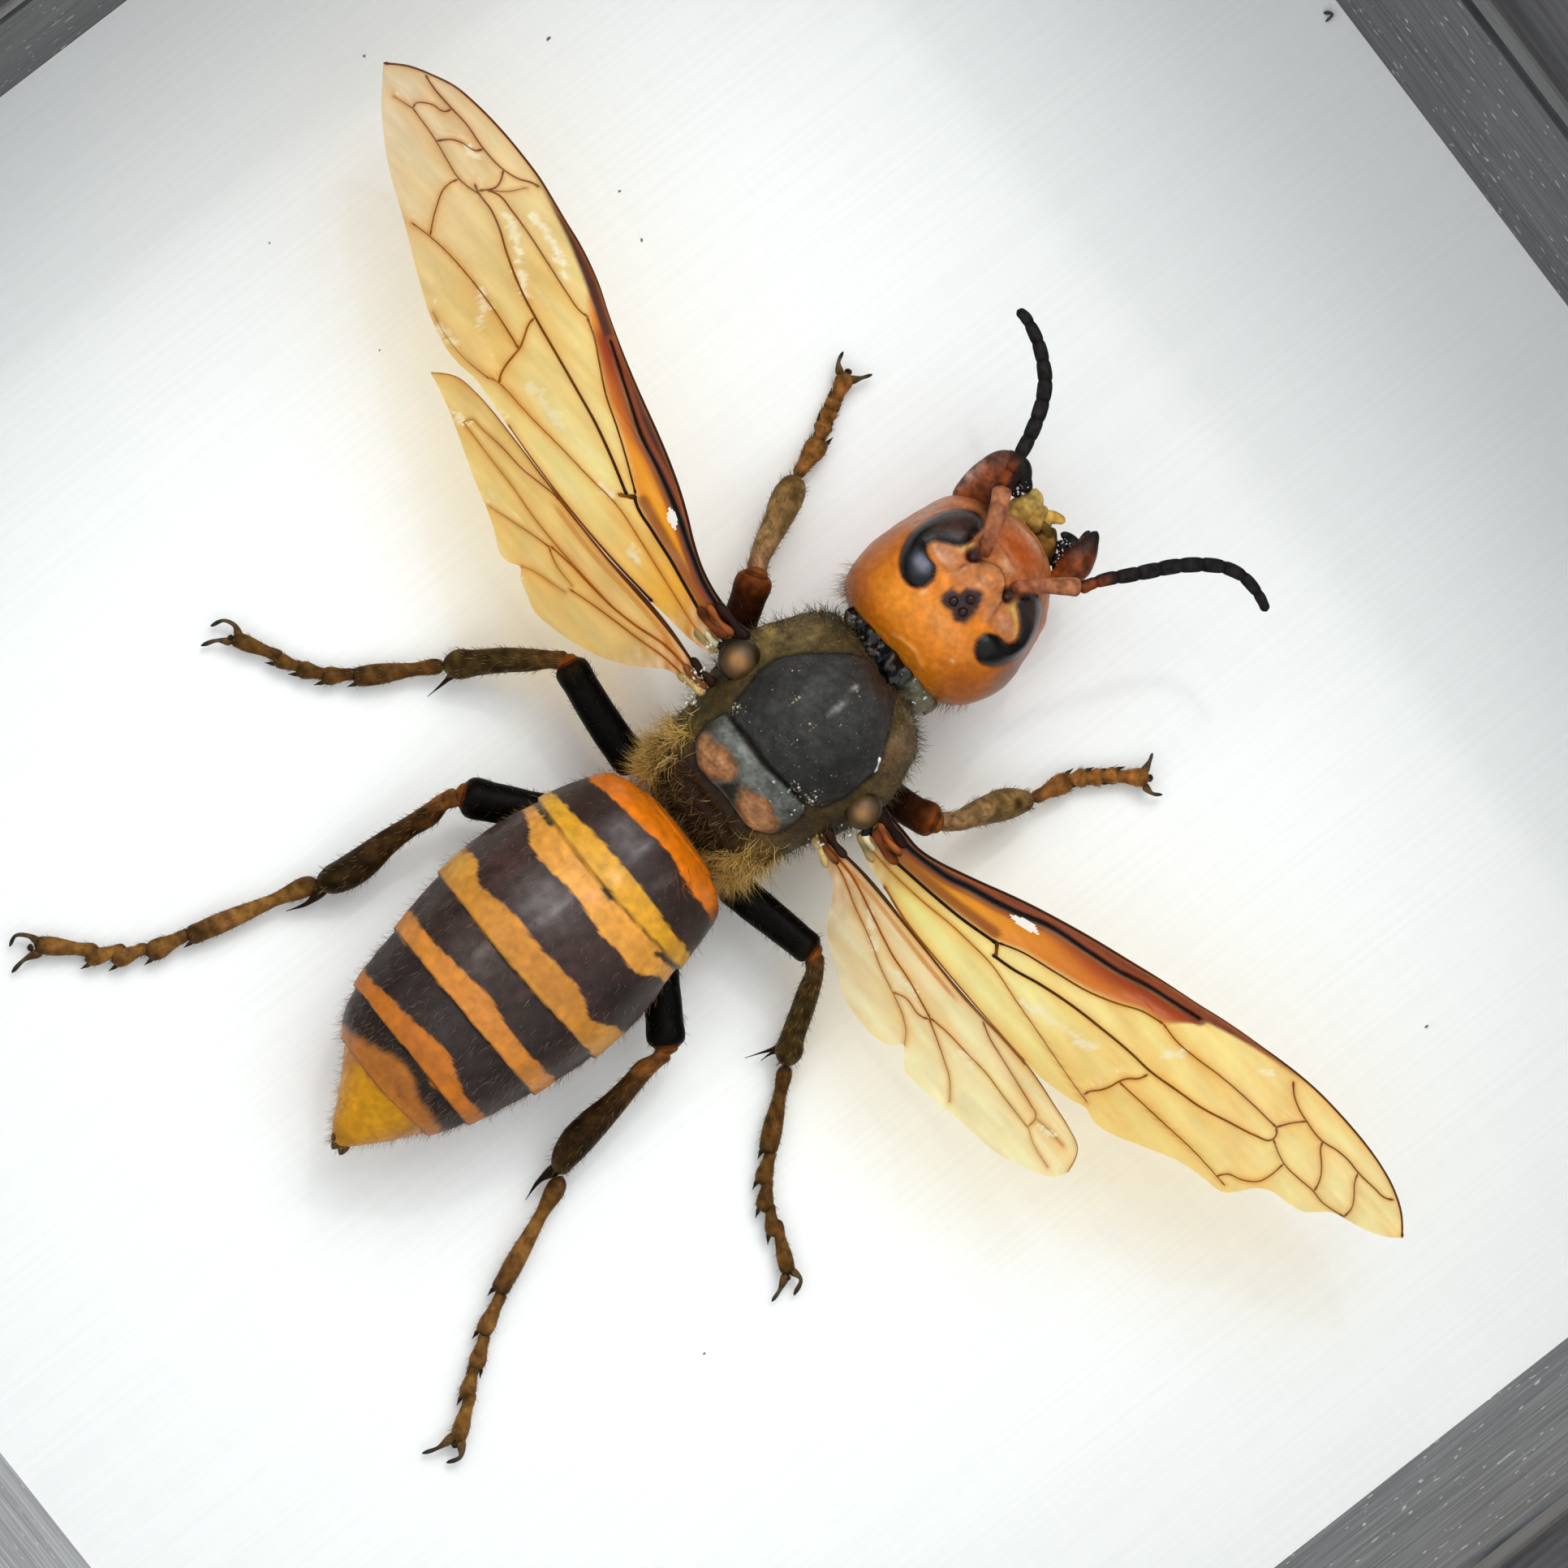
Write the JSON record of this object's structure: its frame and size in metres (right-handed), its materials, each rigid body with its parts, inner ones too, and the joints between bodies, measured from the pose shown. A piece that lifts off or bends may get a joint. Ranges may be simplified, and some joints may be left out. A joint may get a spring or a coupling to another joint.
{
  "type": "framed giant hornet specimen",
  "caption": "A spread giant hornet with orange and dark bands, fixed on white card in a small black shadow box under glass.",
  "frame": {"origin": "middle of the back face of the shadow box, which lies on its back", "axes": "+Z out through the glass, +Y towards the hornet's head (the top of the box), +X to the hornet's right"},
  "size_m": [0.1256, 0.1256, 0.0385],
  "materials": {
    "black_moulding": "satin black stain over a fine grain",
    "glass": "clear polished pane",
    "grey_lining": "matt dark grey, fine grained, a few pale flecks",
    "white_card": "matt white with a faint linen weave",
    "hardboard": "raw brown fibreboard",
    "steel": "zinc plated",
    "orange_shell": "glossy orange chitin with near-black eyes",
    "dark_antenna": "dull black",
    "mandible_shell": "glossy brown, black at the tips",
    "mouthpart_skin": "olive yellow, dry",
    "clear_glue": "clear glue with small bubbles",
    "dark_thorax": "dark and hairy with two orange patches",
    "wing_membrane": "amber translucent membrane with dark veins",
    "leg_shell": "dark brown chitin with short hairs",
    "banded_abdomen": "satin orange and near-black bands"
  },
  "bodies": {
    "root": {"frame_rail_top": "black_moulding", "frame_rail_bottom": "black_moulding", "frame_rail_left": "black_moulding", "frame_rail_right": "black_moulding", "glass": "glass", "spacer_top": "grey_lining", "spacer_bottom": "grey_lining", "spacer_left": "grey_lining", "spacer_right": "grey_lining", "mounting_board": "white_card", "backing_panel": "hardboard", "back_tab_top": "steel", "back_tab_bottom": "steel", "back_tab_left": "steel", "back_tab_right": "steel", "hanger": "steel", "hanger_screw_left": "steel", "hanger_screw_right": "steel", "head": "orange_shell", "left_antenna": "dark_antenna", "right_antenna": "dark_antenna", "left_mandible": "mandible_shell", "right_mandible": "mandible_shell", "mouthparts": "mouthpart_skin", "neck_glue": "clear_glue", "thorax": "dark_thorax", "left_forewing": "wing_membrane", "left_hindwing": "wing_membrane", "right_forewing": "wing_membrane", "right_hindwing": "wing_membrane", "left_foreleg": "leg_shell", "left_midleg": "leg_shell", "left_hindleg": "leg_shell", "right_foreleg": "leg_shell", "right_midleg": "leg_shell", "right_hindleg": "leg_shell", "abdomen": "banded_abdomen", "mounting_glue_front": "clear_glue", "mounting_glue_rear": "clear_glue"}
  },
  "joints": []
}
